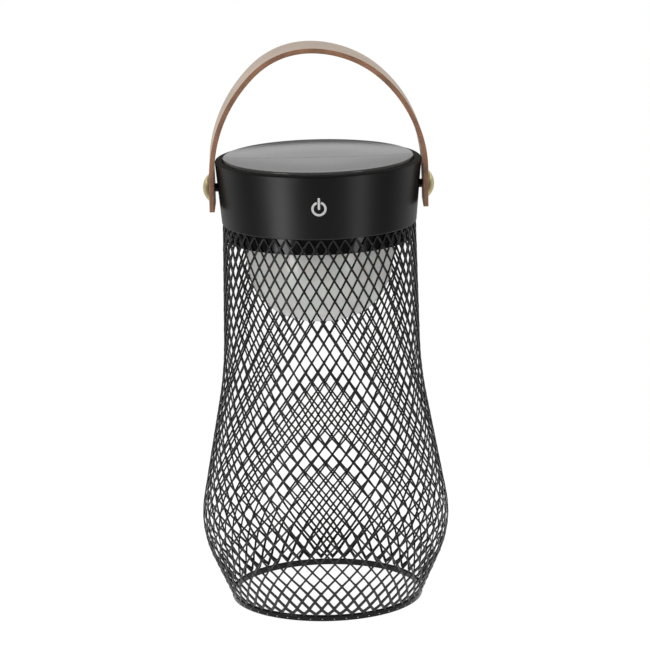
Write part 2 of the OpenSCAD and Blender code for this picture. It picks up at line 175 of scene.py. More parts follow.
@dataclass(frozen=True)
class Finish:
    """A surface made of one real material, with the shader values that it starts from.

    Its mottle moves the roughness by anything within its swing, and its grain stands relief
    high, in millimetres. Its cloud picks among its tones, which are pairs of a height of the
    pattern and an sRGB hex colour.
    """

    colour: str = "#808080"
    roughness: float = 0.5
    metallic: float = 0.0
    ior: float = 1.5
    mottle: Pattern | None = None
    swing: tuple = (0.0, 0.0)
    grain: Pattern | None = None
    relief: float = 0.0
    cloud: Pattern | None = None
    tones: tuple = ()

    @property
    def name(self) -> str:
        """The material's name, such as spun_brass for SpunBrass."""
        return re.sub(r"(?<!^)(?=[A-Z])", "_", type(self).__name__).lower()

    def material(self) -> Material:
        """Build the material, or find it where an earlier piece has built it.

        Returns:
            The material.
        """
        made = bpy.data.materials.get(self.name)
        if made is None:
            made = bpy.data.materials.new(self.name)
            made.use_nodes = True
            shader = made.node_tree.nodes["Principled BSDF"]
            connect(shader, {"Base Color": linear(self.colour), "Roughness": self.roughness})
            connect(shader, {"Metallic": self.metallic, "IOR": self.ior})
            self.dress(shader)
        return made

    def dress(self, shader: Node) -> None:
        """Add the patterns that the surface shows.

        Args:
            shader: The material's principled shader.
        """
        if self.cloud:
            self.tint(shader, self.texture(shader, self.cloud))
        if self.mottle:
            self.vary(shader, self.texture(shader, self.mottle))
        if self.grain:
            self.emboss(shader, self.texture(shader, self.grain))

    def place(self, shader: Node, **mapping: tuple) -> NodeSocket:
        """Coordinates in the frame's own place, in metres, moved and stretched as asked.

        Args:
            shader: The material's principled shader.
            mapping: Location, Rotation or Scale of a mapping.

        Returns:
            The coordinates' socket.
        """
        spot = add(shader.id_data, "TexCoord").outputs["Object"]
        if mapping:
            spot = add(shader.id_data, "Mapping", {"Vector": spot, **mapping}).outputs["Vector"]
        return spot

    def texture(
        self, shader: Node, pattern: Pattern, mapping: dict | None = None, **settings: object
    ) -> NodeSocket:
        """Add a pattern.

        Args:
            shader: The material's principled shader.
            pattern: The pattern.
            mapping: How its coordinates are moved and stretched.
            settings: Attributes of its node.

        Returns:
            The pattern's height, from 0 to 1.
        """
        values = {"Detail": pattern.detail, "Roughness": pattern.uneven}
        values.update(Vector=self.place(shader, **(mapping or {})), Scale=per_mm(pattern.size))
        return add(shader.id_data, pattern.kind, values, **settings).outputs[0]

    def tint(self, shader: Node, height: NodeSocket) -> None:
        """Let a pattern's height pick among the tones."""
        tones = [(place, linear(code)) for place, code in self.tones]
        colours = add(shader.id_data, "ValToRGB", {"Fac": height}, tones)
        connect(shader, {"Base Color": colours.outputs["Color"]})

    def vary(self, shader: Node, height: NodeSocket) -> None:
        """Let a pattern's height move the roughness."""
        low, high = (self.roughness + change for change in self.swing)
        span = add(shader.id_data, "MapRange", {"Value": height, "To Min": low, "To Max": high})
        connect(shader, {"Roughness": span.outputs["Result"]})

    def emboss(self, shader: Node, height: NodeSocket, strength: float = 1.0) -> None:
        """Let a pattern's height tilt the surface by the finish's relief.

        Args:
            shader: The material's principled shader.
            height: The pattern's height.
            strength: How much of the tilt shows.
        """
        values = {"Height": height, "Distance": self.relief * MM, "Strength": strength}
        connect(shader, {"Normal": add(shader.id_data, "Bump", values).outputs["Normal"]})


@dataclass(frozen=True)
class PowderCoatedSteel(Finish):
    """Expanded sheet steel, powder coated black: an even, rather dry satin.

    Its grain is the orange peel of the baked powder.
    """

    colour: str = "#131314"
    roughness: float = 0.25
    mottle: Pattern = Pattern(14.0, 3.0)
    swing: tuple = (-0.07, 0.09)
    grain: Pattern = Pattern(0.7)
    relief: float = 0.02
    sheen_level: float = 0.42

    def dress(self, shader: Node) -> None:
        """The patterns, and the powder's dry look."""
        super().dress(shader)
        connect(shader, {"Specular IOR Level": self.sheen_level})


@dataclass(frozen=True)
class BlackEnamel(Finish):
    """Stoved black enamel on spun steel: deep gloss that mirrors the softboxes.

    It shows slow waves where it has flowed out.
    """

    colour: str = "#0b0b0c"
    roughness: float = 0.14
    mottle: Pattern = Pattern(5.0, 1.0)
    swing: tuple = (-0.03, 0.06)
    grain: Pattern = Pattern(5.0, 1.0)
    relief: float = 0.02


@dataclass(frozen=True)
class RimEnamel(BlackEnamel):
    """The same enamel on the rim, in a thinner coat that mirrors less."""

    ior: float = 1.3


@dataclass(frozen=True)
class MouldedAbs(Finish):
    """Injection moulded black ABS from a spark-eroded tool: satin with a fine dry grain.

    The grain is coarser than the real 0.1 mm, so that it shows.
    """

    colour: str = "#0b0b0b"
    roughness: float = 0.38
    mottle: Pattern = Pattern(22.0)
    swing: tuple = (-0.03, 0.04)
    grain: Pattern = Pattern(0.35, 3.0)
    relief: float = 0.012
    top_matt: float = 0.27
    top_from: float = 0.6
    top_full: float = 0.95

    def dress(self, shader: Node) -> None:
        """The patterns, and a matter look where the surface faces up."""
        super().dress(shader)
        tree = shader.id_data
        facing = add(tree, "SeparateXYZ", {"Vector": add(tree, "NewGeometry").outputs["Normal"]})
        span = {"From Min": self.top_from, "From Max": self.top_full, "To Max": self.top_matt}
        top = add(tree, "MapRange", {"Value": facing.outputs["Z"], **span}).outputs[0]
        gloss = shader.inputs["Roughness"].links[0].from_socket
        both = add(tree, "Math", {0: gloss, 1: top}, operation="ADD").outputs[0]
        connect(shader, {"Roughness": both})


@dataclass(frozen=True)
class SmokedAcrylic(Finish):
    """Smoked acrylic lens, moulded and polished, and hazy from handling.

    It is clear enough to show the cells that it covers. Along its middle, over the gap between
    them, it carries painted shade: a dark tone that fades out to either side.
    """

    colour: str = "#727271"
    roughness: float = 0.05
    ior: float = 1.49
    mottle: Pattern = Pattern(18.0, 4.0)
    swing: tuple = (-0.02, 0.04)
    # tones: the dark tone is painted shade of the gap between the cells; the light tone is the
    # lens's own smoke
    tones: tuple = ((0.0, "#262626"), (1.0, "#727271"))
    clear: float = 0.7
    gap_half: float = 0.9
    gap_fade: float = 1.9

    def dress(self, shader: Node) -> None:
        """The patterns, and the painted shade along the middle, over the gap between the cells."""
        super().dress(shader)
        connect(shader, {"Transmission Weight": self.clear})
        tree = shader.id_data
        across = add(tree, "SeparateXYZ", {"Vector": self.place(shader)}).outputs["Y"]
        off = add(tree, "Math", {0: across}, operation="ABSOLUTE").outputs[0]
        span = {"From Min": self.gap_half * MM, "From Max": self.gap_fade * MM}
        # painted shade: the lens darkens near its middle line, over the gap between the cells, and
        # fades out to either side
        self.tint(shader, add(tree, "MapRange", {"Value": off, **span}).outputs[0])


@dataclass(frozen=True)
class SolarCell(Finish):
    """Monocrystalline silicon under its coating: blue-black, ruled with silver fingers."""

    colour: str = "#2e3340"
    roughness: float = 0.3
    cloud: Pattern = Pattern(6.0)
    tones: tuple = ((0.3, "#2b303d"), (0.7, "#3a3f4b"))
    silver: str = "#b9bcc0"
    finger_pitch: float = 2.4
    finger_width: float = 0.16
    bar_pitch: float = 15.5
    bar_width: float = 0.9

    def dress(self, shader: Node) -> None:
        """The silicon, with screen-printed fingers along Y and collector bars along X."""
        super().dress(shader)
        fingers = self.lines(shader, "X", self.finger_pitch, self.finger_width)
        bars = self.lines(shader, "Y", self.bar_pitch, self.bar_width)
        either = add(shader.id_data, "Math", {0: fingers, 1: bars}, operation="MAXIMUM")
        silicon = shader.inputs["Base Color"].links[0].from_socket
        values = {"Factor": either.outputs[0], 6: silicon, 7: linear(self.silver)}
        mix = add(shader.id_data, "Mix", values, data_type="RGBA")
        connect(shader, {"Base Color": mix.outputs[2]})

    def lines(self, shader: Node, letter: str, pitch: float, width: float) -> NodeSocket:
        """Parallel lines across one axis.

        Args:
            shader: The material's principled shader.
            letter: The axis that the lines are counted along.
            pitch: Distance between lines in millimetres.
            width: Width of a line in millimetres.

        Returns:
            A socket that is 1 on a line and 0 between lines.
        """
        tree = shader.id_data
        found = add(tree, "SeparateXYZ", {"Vector": self.place(shader)}).outputs[letter]
        for edge, operation in ((pitch, "PINGPONG"), (width, "LESS_THAN")):
            found = add(tree, "Math", {0: found, 1: edge * MM / 2}, operation=operation).outputs[0]
        return found


@dataclass(frozen=True)
class FrostedPolycarbonate(Finish):
    """Moulded polycarbonate, frosted inside and glossy outside: milky grey with small glints.

    A little light passes into its wall, and the mould leaves a faint bloom.
    """

    colour: str = "#d4d4d0"
    roughness: float = 0.3
    ior: float = 1.58
    mottle: Pattern = Pattern(9.0, 3.0)
    swing: tuple = (-0.05, 0.07)
    grain: Pattern = Pattern(0.5, 1.0)
    relief: float = 0.01
    milk: float = 0.25
    milk_depth: float = 3.0
    skin: float = 1.0
    skin_roughness: float = 0.05

    def dress(self, shader: Node) -> None:
        """The patterns, the milky wall and the glossy skin."""
        super().dress(shader)
        milk = {"Subsurface Weight": self.milk, "Subsurface Scale": self.milk_depth * MM}
        skin = {"Coat Weight": self.skin, "Coat Roughness": self.skin_roughness}
        connect(shader, {**milk, **skin})


@dataclass(frozen=True)
class BridleLeather(Finish):
    """Bridle leather, waxed: fine pebbled grain with a soft sheen at low angles.

    Its faces are taupe, partly the leather's own tone and partly painted sheen of light from
    above. Its tone and its gloss change slowly where the strap bends.
    """

    # colour and tones: taupe, partly the leather's own tone and partly painted sheen of light on
    # the faces
    colour: str = "#c9b6a5"
    roughness: float = 0.42
    mottle: Pattern = Pattern(19.0, 4.0)
    swing: tuple = (-0.06, 0.08)
    cloud: Pattern = Pattern(19.0, 4.0)
    tones: tuple = ((0.3, "#bba896"), (0.7, "#c9b6a5"))
    pebble: Pattern = Cells(0.9)
    pebble_share: float = 0.6
    crease: Pattern = Pattern(3.5, 5.0)
    relief: float = 0.05
    relief_shown: float = 0.7

    def dress(self, shader: Node) -> None:
        """The patterns, and pebbles among creases."""
        super().dress(shader)
        cells = self.texture(shader, self.pebble, feature="SMOOTH_F1")
        values = {0: cells, 1: self.pebble_share, 2: self.texture(shader, self.crease)}
        height = add(shader.id_data, "Math", values, operation="MULTIPLY_ADD").outputs[0]
        self.emboss(shader, height, self.relief_shown)


@dataclass(frozen=True)
class CutLeatherEdge(Finish):
    """The cut edge of the strap, sanded and burnished: red-brown, with its fibres showing."""

    colour: str = "#94694d"
    roughness: float = 0.55
    tones: tuple = ((0.54, "#62432f"), (0.8, "#94694d"))
    burnish: Pattern = Pattern(8.0, 3.0)
    burnish_share: float = 0.35
    fibre: Pattern = Pattern(0.5, 4.0, 0.6)
    relief: float = 0.05

    def dress(self, shader: Node) -> None:
        """Fibres, over slow changes of tone that burnishing leaves."""
        fibre = self.texture(shader, self.fibre)
        values = {0: self.texture(shader, self.burnish), 1: self.burnish_share, 2: fibre}
        tone = add(shader.id_data, "Math", values, operation="MULTIPLY_ADD").outputs[0]
        self.tint(shader, tone)
        self.emboss(shader, fibre)


@dataclass(frozen=True)
class SpunBrass(Finish):
    """Brass cap, spun and lacquered: pale gold with fine turning marks round the middle.

    The marks are coarser than the real ones: three to a wave, so 1.9 mm apart.
    """

    colour: str = "#f0dfa6"
    roughness: float = 0.22
    metallic: float = 1.0
    swing: tuple = (-0.05, 0.08)
    relief: float = 0.004
    pivot_z: float = 219.0
    wave: float = 6.0
    wobble: float = 0.6

    def dress(self, shader: Node) -> None:
        """Turning marks about the pivot's axis."""
        spot = self.place(shader, Location=(0.0, 0.0, -self.pivot_z * MM))
        values = {"Vector": spot, "Scale": per_mm(self.wave), "Distortion": self.wobble}
        way = {"wave_type": "RINGS", "rings_direction": "X"}
        rings = add(shader.id_data, "TexWave", values, **way).outputs["Fac"]
        self.vary(shader, rings)
        self.emboss(shader, rings)


@dataclass(frozen=True)
class BlackNylon(Finish):
    """Moulded black nylon bush, with a faint waxy mottle."""

    colour: str = "#161617"
    roughness: float = 0.48
    mottle: Pattern = Pattern(1.2)
    swing: tuple = (-0.06, 0.06)


@dataclass(frozen=True)
class ZincSteel(Finish):
    """Zinc plated steel of screws, nuts and contacts: cool grey with a spangled sheen."""

    colour: str = "#aeb2b6"
    roughness: float = 0.32
    metallic: float = 1.0
    mottle: Pattern = Cells(0.9)
    swing: tuple = (-0.08, 0.1)


@dataclass(frozen=True)
class FibreglassBoard(Finish):
    """Green solder mask over woven fibreglass: glossy, with the weave just showing."""

    colour: str = "#1c5c36"
    roughness: float = 0.25
    light: str = "#21683e"
    dark: str = "#174d2d"
    yarn: float = 0.5
    row: float = 0.25
    seam: float = 0.03

    def dress(self, shader: Node) -> None:
        """The glass weave, whose yarns are a row of the texture high."""
        yarns = {"Color1": self.colour, "Color2": self.light, "Mortar": self.dark}
        values = {key: linear(code) for key, code in yarns.items()}
        values.update({"Vector": self.place(shader), "Scale": per_mm(self.yarn / self.row)})
        values.update({"Row Height": self.row, "Mortar Size": self.seam})
        weave = add(shader.id_data, "TexBrick", values)
        connect(shader, {"Base Color": weave.outputs["Color"]})


@dataclass(frozen=True)
class WhiteSolderMask(Finish):
    """White solder mask of a light board, slightly glossy; its copper lands show faintly."""

    colour: str = "#e4e4e0"
    roughness: float = 0.35
    cloud: Pattern = Cells(7.0)
    tones: tuple = ((0.1, "#dcdcd7"), (0.5, "#e8e8e4"))


@dataclass(frozen=True)
class PhosphorDiode(Finish):
    """Phosphor of a warm white diode, switched off: grainy egg yellow in its white frame."""

    colour: str = "#e9d27a"
    roughness: float = 0.4
    cloud: Pattern = Pattern(0.4)
    tones: tuple = ((0.3, "#dcc369"), (0.7, "#efdc8e"))


@dataclass(frozen=True)
class ShrinkSleeve(Finish):
    """Blue shrink sleeve on the cell: thin glossy film, slightly wrinkled round the cell."""

    colour: str = "#2c64a5"
    roughness: float = 0.22
    fold: Pattern = Pattern(4.0, 3.0)
    relief: float = 0.08
    stretch: tuple = (1.0, 0.2, 0.2)

    def dress(self, shader: Node) -> None:
        """The wrinkles."""
        self.emboss(shader, self.texture(shader, self.fold, {"Scale": self.stretch}))


@dataclass(frozen=True)
class CopperFoil(Finish):
    """Copper foil of the touch pad: warm metal, dulled by air in clouds."""

    colour: str = "#c07f56"
    roughness: float = 0.35
    metallic: float = 1.0
    mottle: Pattern = Pattern(5.0)
    swing: tuple = (-0.1, 0.15)


@dataclass(frozen=True)
class ClosedCellFoam(Finish):
    """Black foam tape that seals the lens: matt, with fine pores."""

    colour: str = "#101010"
    roughness: float = 0.85
    grain: Pattern = Cells(0.6)
    relief: float = 0.15


@dataclass(frozen=True)
class ScreenInk(Finish):
    """Pale grey screen ink: a thin matt film with slightly uneven cover."""

    colour: str = "#b2b2b1"
    roughness: float = 0.6
    cloud: Pattern = Pattern(0.6)
    tones: tuple = ((0.3, "#aaaaa8"), (0.7, "#bababa"))


@dataclass(frozen=True)
class MouldedIc(Finish):
    """Epoxy body of a chip: charcoal and matt, with the grain of the blasted mould."""

    colour: str = "#1f2022"
    roughness: float = 0.6
    grain: Pattern = Pattern(0.3)
    relief: float = 0.02


# ---- mesh helpers


def add_piece(
    name: str,
    points: list | np.ndarray,
    faces: list,
    finishes: list[Finish],
    body: Body,
    picks: list[int] | None = None,
) -> Object:
    """Make one smooth mesh piece in the frame's place and let it ride on a body.

    Args:
        name: The piece's name.
        points: Its points in millimetres.
        faces: Its faces, as lists of point numbers.
        finishes: Its finishes, in the order of their slots.
        body: The body that it moves with.
        picks: For each face, the number of its finish.

    Returns:
        The piece.
    """
    mesh = bpy.data.meshes.new(name)
    mesh.from_pydata((np.asarray(points, float) * MM).tolist(), [], faces)
    for finish in finishes:
        mesh.materials.append(finish.material())
    if picks is not None:
        mesh.polygons.foreach_set("material_index", np.asarray(picks, np.int32))
    mesh.polygons.foreach_set("use_smooth", np.ones(len(mesh.polygons), bool))
    mesh.validate()
    mesh.update()
    piece = bpy.data.objects.new(name, mesh)
    bpy.context.scene.collection.objects.link(piece)
    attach(piece, body.value)
    LOG.info("%s: %d points, %d faces", name, len(mesh.vertices), len(mesh.polygons))
    return piece


def look_up(table: Iterable, place: float) -> float:
    """The value at a place, from a table of places and values, straight between its rows."""
    return float(np.interp(place, *zip(*table)))


def heading(angle: float) -> np.ndarray:
    """The flat direction of an angle."""
    return np.array([math.cos(angle), math.sin(angle)])


def unit(vector: np.ndarray) -> np.ndarray:
    """A vector's direction."""
    return vector / np.linalg.norm(vector)


def directions(line: np.ndarray) -> tuple[np.ndarray, np.ndarray]:
    """Which way a flat line runs at each of its points.

    Args:
        line: Its points.

    Returns:
        The unit vectors along the line and those to its left.
    """
    along = np.gradient(line, axis=0)
    along /= np.linalg.norm(along, axis=1)[:, None]
    return along, np.stack([-along[:, 1], along[:, 0]], 1)


def round_corner(
    before: np.ndarray, corner: np.ndarray, after: np.ndarray, radius: float, steps: int
) -> list[np.ndarray]:
    """Points of the arc that rounds one corner of a path.

    Args:
        before: The point before the corner.
        corner: The corner.
        after: The point after the corner.
        radius: Radius of the arc.
        steps: Number of steps along the arc.

    Returns:
        The arc's points.
    """
    back, ahead = unit(before - corner), unit(after - corner)
    half = math.acos(float(np.clip(back @ ahead, -1, 1))) / 2
    centre = corner + unit(back + ahead) * radius / math.sin(half)
    first = corner + back * radius / math.tan(half) - centre
    last = corner + ahead * radius / math.tan(half) - centre
    start = math.atan2(first[1], first[0])
    turn = math.atan2(first[0] * last[1] - first[1] * last[0], float(first @ last))
    return [centre + radius * heading(start + turn * k / steps) for k in range(steps + 1)]


def round_path(corners: Iterable, radii: list, steps: int) -> np.ndarray:
    """An open path whose inner corners are rounded.

    Args:
        corners: Its corners.
        radii: A radius for each inner corner.
        steps: Steps along each arc.

    Returns:
        The path's points.
    """
    spots = [np.array(c, float) for c in corners]
    path = [spots[0]]
    for k, radius in enumerate(radii, 1):
        path += round_corner(spots[k - 1], spots[k], spots[k + 1], radius, steps)
    return np.array(path + [spots[-1]])


def bridge(faces: list, here: Sequence[int], there: Sequence[int]) -> None:
    """Join two closed rings of points by a band of faces.

    Args:
        faces: The list that gets the faces.
        here: Point numbers of the first ring.
        there: Point numbers of the second ring, in the same order.
    """
    for k in range(len(here)):
        n = (k + 1) % len(here)
        faces.append([here[k], there[k], there[n], here[n]])


def ring_of(number: int, count: int, start: int = 0) -> range:
    """Point numbers of one ring among rings of equal count."""
    return range(start + number * count, start + (number + 1) * count)


# ---- cage


@dataclass
class ExpandedCage:
    """The rolled and flared sheet of expanded metal.

    The sheet is slit and stretched, so each crossing is a lens of metal whose top tips inwards
    near the foot and outwards above, and the strands between crossings keep their length where
    the cage widens. The sheet is a little uneven: its drift moves the crossings of the front and
    the back towards +X, and its back_rise lifts those of the back. A table holds pairs of a
    height and a value.
    """

    cells: int = 51
    rows: int = 41
    strand_length: float = 6.1
    sheet: float = 0.5
    foot_z: float = 3.45
    first_row_z: float = 7.1
    row_marks: tuple = (
        (5, 25.4), (8, 39.3), (13, 62.4), (19, 90.7), (24, 116.1), (31, 152.6), (38, 189.8)
    )
    widths: tuple = (
        (3.4, 1.56), (14, 1.43), (24, 1.0), (36, 0.87), (48, 0.95), (120, 0.89), (150, 0.83),
        (168, 1.03), (195, 1.06),
    )
    lean_out: tuple = ((3.4, -0.48), (18, -0.42), (38, -0.1), (70, 0.1), (120, 0.15))
    drift: tuple = (
        (3, 0.05), (20, 0.3), (38, 0.25), (75, 0.45), (105, 0.6), (145, 0.95), (185, 0.7)
    )
    back_rise: tuple = ((20, 0.3), (60, 0.45), (105, 1.0), (150, 1.5), (190, 1.5))
    outline: tuple = ((50.6, 3.15), (66.66, 38.4), (51.2, 122.2), (49.8, 199.4))
    belly_round: float = 51.0
    flare_round: float = 190.0
    round_steps: int = 16
    overhang: float = 0.6
    rounding_levels: int = 1
    keen: float = 0.6

    def __post_init__(self) -> None:
        """Work out the outline and the heights of the rows.

        The strands set the rows, and row_marks, pairs of a row and its height, stretch them.
        """
        radii = [self.belly_round, self.flare_round]
        self.path = round_path(self.outline, radii, self.round_steps)
        heights = [self.foot_z, self.first_row_z]
        while len(heights) < self.rows:
            z = heights[-1]
            heights.append(z + self.rise(z + self.rise(z) / 2))
        marks = ((1, self.first_row_z), *self.row_marks)
        shifts = [(row, z - heights[row]) for row, z in marks]
        self.heights = [z + look_up(shifts, row) * (row > 0) for row, z in enumerate(heights)]

    def radius(self, z: float) -> float:
        """Outer radius of the sheet at a height."""
        return float(np.interp(z, self.path[:, 1], self.path[:, 0]))

    def slant(self, z: float) -> float:
        """Length along the sheet for each millimetre of height."""
        return math.hypot(1, self.radius(z + 0.5) - self.radius(z - 0.5))

    def half_pitch(self, z: float) -> float:
        """Half the width of a diamond at a height."""
        return math.pi * self.radius(z) / self.cells

    def step(self, z: float) -> float:
        """Length along the sheet from one row of crossings to the next."""
        return math.sqrt(self.strand_length**2 - self.half_pitch(z) ** 2)

    def rise(self, z: float) -> float:
        """Height from one row of crossings to the next."""
        return self.step(z) / self.slant(z)

    def crossing(self, row: int, i: int) -> list[np.ndarray]:
        """Corners of one crossing, outer face then inner face.

        Args:
            row: Number of the row, from the foot.
            i: Number of the crossing around the cage.

        Returns:
            Upper, right, lower and left corner, on each face.
        """
        z = self.heights[row]
        angle = -math.pi / 2 + (i + row % 2 / 2) * (2 * math.pi / self.cells)
        angle -= look_up(self.drift, z) / self.radius(z) * math.sin(angle)
        z += look_up(self.back_rise, z) * (1 + math.sin(angle)) / 2
        half_strand = look_up(self.widths, z) * self.strand_length / 2
        lean = look_up(self.lean_out, z)
        wide = half_strand / self.step(z)
        high = half_strand / self.half_pitch(z) / self.slant(z)
        lowest, highest = self.outline[0][1] - self.overhang, self.outline[-1][1] + self.overhang
        corners = []
        for depth in (0.0, self.sheet):
            for side, up in ((0, 1), (1, 0), (0, -1), (-1, 0)):
                height = float(np.clip(z + up * high, lowest, highest))
                r = self.radius(height) - depth + up * lean
                corners.append(np.array([*(r * heading(angle + side * wide / r)), height]))
        return corners

    def build(self) -> Object:
        """Build the sheet.

        Returns:
            The piece.
        """
        places = [(row, i) for row in range(self.rows) for i in range(self.cells)]
        points = [corner for row, i in places for corner in self.crossing(row, i)]
        faces: list[list[int]] = []
        up, right, down, left = range(4)
        for row, i in places:
            a = 8 * (row * self.cells + i)
            faces.append([a + left, a + down, a + right, a + up])
            faces.append([a + 4 + up, a + 4 + right, a + 4 + down, a + 4 + left])
            ends = [(right, down), (down, left)] if row == 0 else []
            if row == self.rows - 1:
                ends = [(up, right), (left, up)]
            faces += [[a + p, a + q, a + 4 + q, a + 4 + p] for p, q in ends]
            if row < self.rows - 1:
                above = (row + 1) * self.cells
                b = 8 * (above + (i + row % 2) % self.cells)
                c = 8 * (above + (i + row % 2 - 1) % self.cells)
                self.strand(points, faces, (a + right, a + up), (b + down, b + left))
                self.strand(points, faces, (a + up, a + left), (c + right, c + down))
        finishes = [PowderCoatedSteel()]
        cage = add_piece("expanded_cage", points, faces, finishes, Body.LAMP)
        edges = cage.data.attributes.new("crease_edge", "FLOAT", "EDGE")
        edges.data.foreach_set("value", [self.keen] * len(cage.data.edges))
        rounder = cage.modifiers.new("rounding", "SUBSURF")
        rounder.levels = rounder.render_levels = self.rounding_levels
        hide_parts("cage_mesh")
        return cage

    def strand(
        self, points: list, faces: list, start: tuple[int, int], end: tuple[int, int]
    ) -> None:
        """Add one strand with a ring of points at its middle.

        Args:
            points: The sheet's points, which grow by four.
            faces: The sheet's faces, which grow by eight.
            start: Lower and upper outer corner where it leaves a crossing.
            end: Lower and upper outer corner where it meets the next.
        """
        near, far = [[low, top, top + 4, low + 4] for low, top in (start, end)]
        middle = ring_of(0, 4, len(points))
        points += [(points[p] + points[q]) / 2 for p, q in zip(near, far)]
        bridge(faces, near, middle)
        bridge(faces, middle, far)


@dataclass
class BottomRim:
    """The rolled band under the mesh, with the small domes of its spot welds. The domes are
    finished in bright zinc as a painted glint of the light that they catch.
    """

    outer: float = 50.3
    width: float = 1.9
    height: float = 3.1
    edge: float = 0.55
    inner_edge: float = 0.33
    edge_steps: int = 4
    turns: int = 208
    dimples: int = 51
    first_dimple: float = 0.53
    dimple_z: float = 1.25
    dimple_radius: float = 0.42
    dimple_rise: float = 0.3
    dimple_sink: float = 0.06
    dimple_rings: int = 3
    dimple_turns: int = 8

    def build(self) -> Object:
        """Build the band with its row of small domes.

        Returns:
            The piece.
        """
        inner, middle = self.outer - self.width, self.outer - self.width / 2
        radii = [self.edge, self.edge, self.inner_edge, self.inner_edge]
        profile = [
            (middle, 0), (self.outer, 0), (self.outer, self.height), (inner, self.height),
            (inner, 0), (middle, 0),
        ]
        section = round_path(profile, radii, self.edge_steps)[:-1]
        points, faces = [], []
        for turn in range(self.turns):
            way = heading(turn * 2 * math.pi / self.turns)
            points += [np.array([*(r * way), z]) for r, z in section]
            here, there = (ring_of(k % self.turns, len(section)) for k in (turn, turn + 1))
            bridge(faces, here, there)
        band = len(faces)
        for k in range(self.dimples):
            share = (k + self.first_dimple) * 2 * math.pi / self.dimples
            self.dome(points, faces, -math.pi / 2 + share)
        # painted glint: the domes take bright zinc so that they show as light dots on the dark
        # band
        picks = [0] * band + [1] * (len(faces) - band)
        finishes = [RimEnamel(), ZincSteel()]
        rim = add_piece("bottom_rim", points, faces, finishes, Body.LAMP, picks)
        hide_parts("cage_bottom_rim")
        return rim

    def dome(self, points: list, faces: list, angle: float) -> None:
        """Add one small dome on the outside of the band.

        Args:
            points: The band's points.
            faces: The band's faces.
            angle: Where it stands around the band.
        """
        start, rings, turns = len(points), self.dimple_rings, self.dimple_turns
        foot = self.outer - self.dimple_sink
        for ring in range(rings):
            tilt = ring * math.pi / 2 / rings
            out = foot + self.dimple_rise * math.sin(tilt)
            size = self.dimple_radius * math.cos(tilt)
            for k in range(turns):
                aside, up = size * heading(k * 2 * math.pi / turns)
                way = heading(angle + aside / self.outer)
                points.append(np.array([*(out * way), self.dimple_z + up]))
        top = (foot + self.dimple_rise) * heading(angle)
        points.append(np.array([*top, self.dimple_z]))
        for ring in range(rings - 1):
            a, b = (ring_of(n, turns, start) for n in (ring, ring + 1))
            for k in range(turns):
                n = (k + 1) % turns
                faces.append([a[k], a[n], b[n], b[k]])
        last = ring_of(rings - 1, turns, start)
        faces += [[last[k], last[(k + 1) % turns], len(points) - 1] for k in range(turns)]
        faces.append(list(reversed(ring_of(0, turns, start))))


# ---- head


@dataclass
class PowerSymbol:
    """The switch symbol, screened on the drum: a ring open at the top and a bar."""

    foot_z: float = 200.2
    foot_r: float = 50.1
    taper: float = 3.1 / 33
    centre_z: float = 216.6
    ring_r: float = 3.25
    stroke: float = 1.2
    gap_deg: float = 27.0
    bar_top: float = 5.7
    bar_foot: float = -0.55
    film: float = 0.05
    ring_points: int = 72
    bar_points: int = 14
    cap_steps: int = 6

    def on_wall(self, x: float, z: float, lift: float) -> list[float]:
        """Bring a flat point onto the tapered wall.

        Args:
            x: Distance to the right of the symbol's middle.
            z: Height above the symbol's middle.
            lift: Distance from the wall.

        Returns:
            The point on the drum.
        """
        height = self.centre_z + z
        r = self.foot_r + self.taper * (height - self.foot_z)
        return [(r + lift) * math.sin(x / r), -(r + lift) * math.cos(x / r), height]

    def ribbon(self, line: np.ndarray) -> list[list[np.ndarray]]:
        """Outline a line with round ends.

        Args:
            line: Its points.

        Returns:
            Rings of points across the line: left edge, middle and right edge.
        """
        half = self.stroke / 2
        along, left = directions(line)
        turns = [math.pi / 2 * k / self.cap_steps for k in range(self.cap_steps)]
        spots = [
            (line[0] - along[0] * half * math.cos(a), left[0] * half * math.sin(a)) for a in turns
        ]
        spots += [(spot, way * half) for spot, way in zip(line, left)]
        spots += [
            (line[-1] + along[-1] * half * math.cos(a), left[-1] * half * math.sin(a))
            for a in reversed(turns)
        ]
        return [[spot + across * s for s in (1, 0, -1)] for spot, across in spots]

    def build(self) -> Object:
        """Build the symbol as a thin closed film on the wall.

        Returns:
            The piece.
        """
        gap, half = math.radians(self.gap_deg), self.stroke / 2
        turns = np.linspace(math.pi / 2 + gap, math.pi * 2.5 - gap, self.ring_points)
        arc = np.stack([np.cos(turns), np.sin(turns)], 1) * self.ring_r
        heights = np.linspace(self.bar_foot + half, self.bar_top - half, self.bar_points)
        bar = np.stack([np.zeros_like(heights), heights], 1)
        points: list = []
        faces: list = []
        around = (0, 1, 2, 5, 4, 3)
        for line in (arc, bar):
            rings = self.ribbon(line)
            start = len(points)
            for ring in rings:
                for lift in (self.film, -self.film):
                    points += [self.on_wall(float(x), float(z), lift) for x, z in ring]
            spans = [(start + 6 * k, start + 6 * (k + 1)) for k in range(len(rings) - 1)]
            for a, b in spans:
                for p, q in zip(around, around[1:] + around[:1]):
                    faces.append([a + p, a + q, b + q, b + p])
            faces.append([start + k for k in (3, 4, 5, 2, 1, 0)])
            faces.append([spans[-1][1] + k for k in around])
        return add_piece("power_symbol", points, faces, [ScreenInk()], Body.LAMP)


# ---- strap


